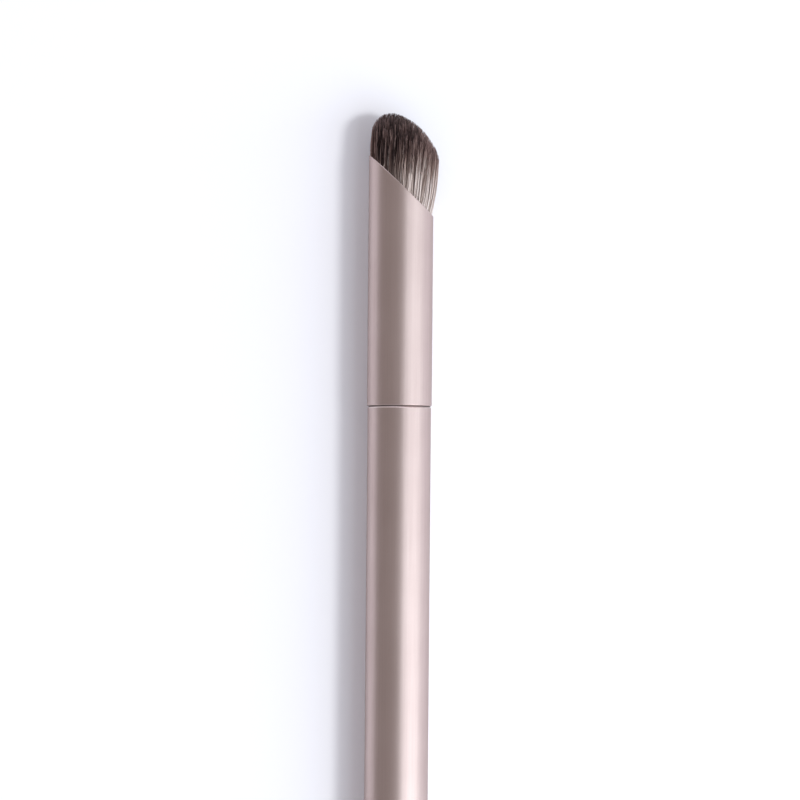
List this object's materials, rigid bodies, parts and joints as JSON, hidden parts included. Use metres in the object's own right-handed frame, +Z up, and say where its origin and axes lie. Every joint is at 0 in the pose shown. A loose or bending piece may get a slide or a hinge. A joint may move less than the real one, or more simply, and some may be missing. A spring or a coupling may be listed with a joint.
{
  "type": "eyeshadow brush",
  "caption": "Slim tube-handled eyeshadow brush with a slant-cut ferrule and a dense fingertip-shaped tuft that bends under pressure and springs back.",
  "frame": {"origin": "on the table that the brush lies on, under its axis at half its length", "axes": "+Y along the brush towards the tuft, +Z up from the table, +X towards the low side of the slanted mouth"},
  "size_m": [0.0111, 0.1497, 0.0102],
  "materials": {
    "handle_metal": "satin anodised, warm champagne",
    "cap_metal": "satin anodised, warm champagne",
    "ferrule_metal": "satin anodised, warm champagne",
    "coupling_plastic": "matte moulded",
    "cured_glue": "glossy, amber",
    "thread": "twisted thread",
    "fibres": "fine synthetic fibres, pale at the root and dark brown at the tip"
  },
  "bodies": {
    "brush": {"handle_tube": "handle_metal", "end_cap": "cap_metal", "coupling": "coupling_plastic", "ferrule": "ferrule_metal", "root_plug": "cured_glue", "tie_thread": "thread", "tuft_root": "fibres"},
    "tuft": {"tuft_tip": "fibres"}
  },
  "joints": [
    {"name": "tuft_flex", "type": "hinge", "parent": "brush", "child": "tuft", "pos_m": [0, 0.0633, 0.0051], "axis": [0, 0, 1], "range_deg": [-20, 20], "stiffness_Nm_per_rad": 0.008, "deforming": ["tuft_tip"]}
  ]
}
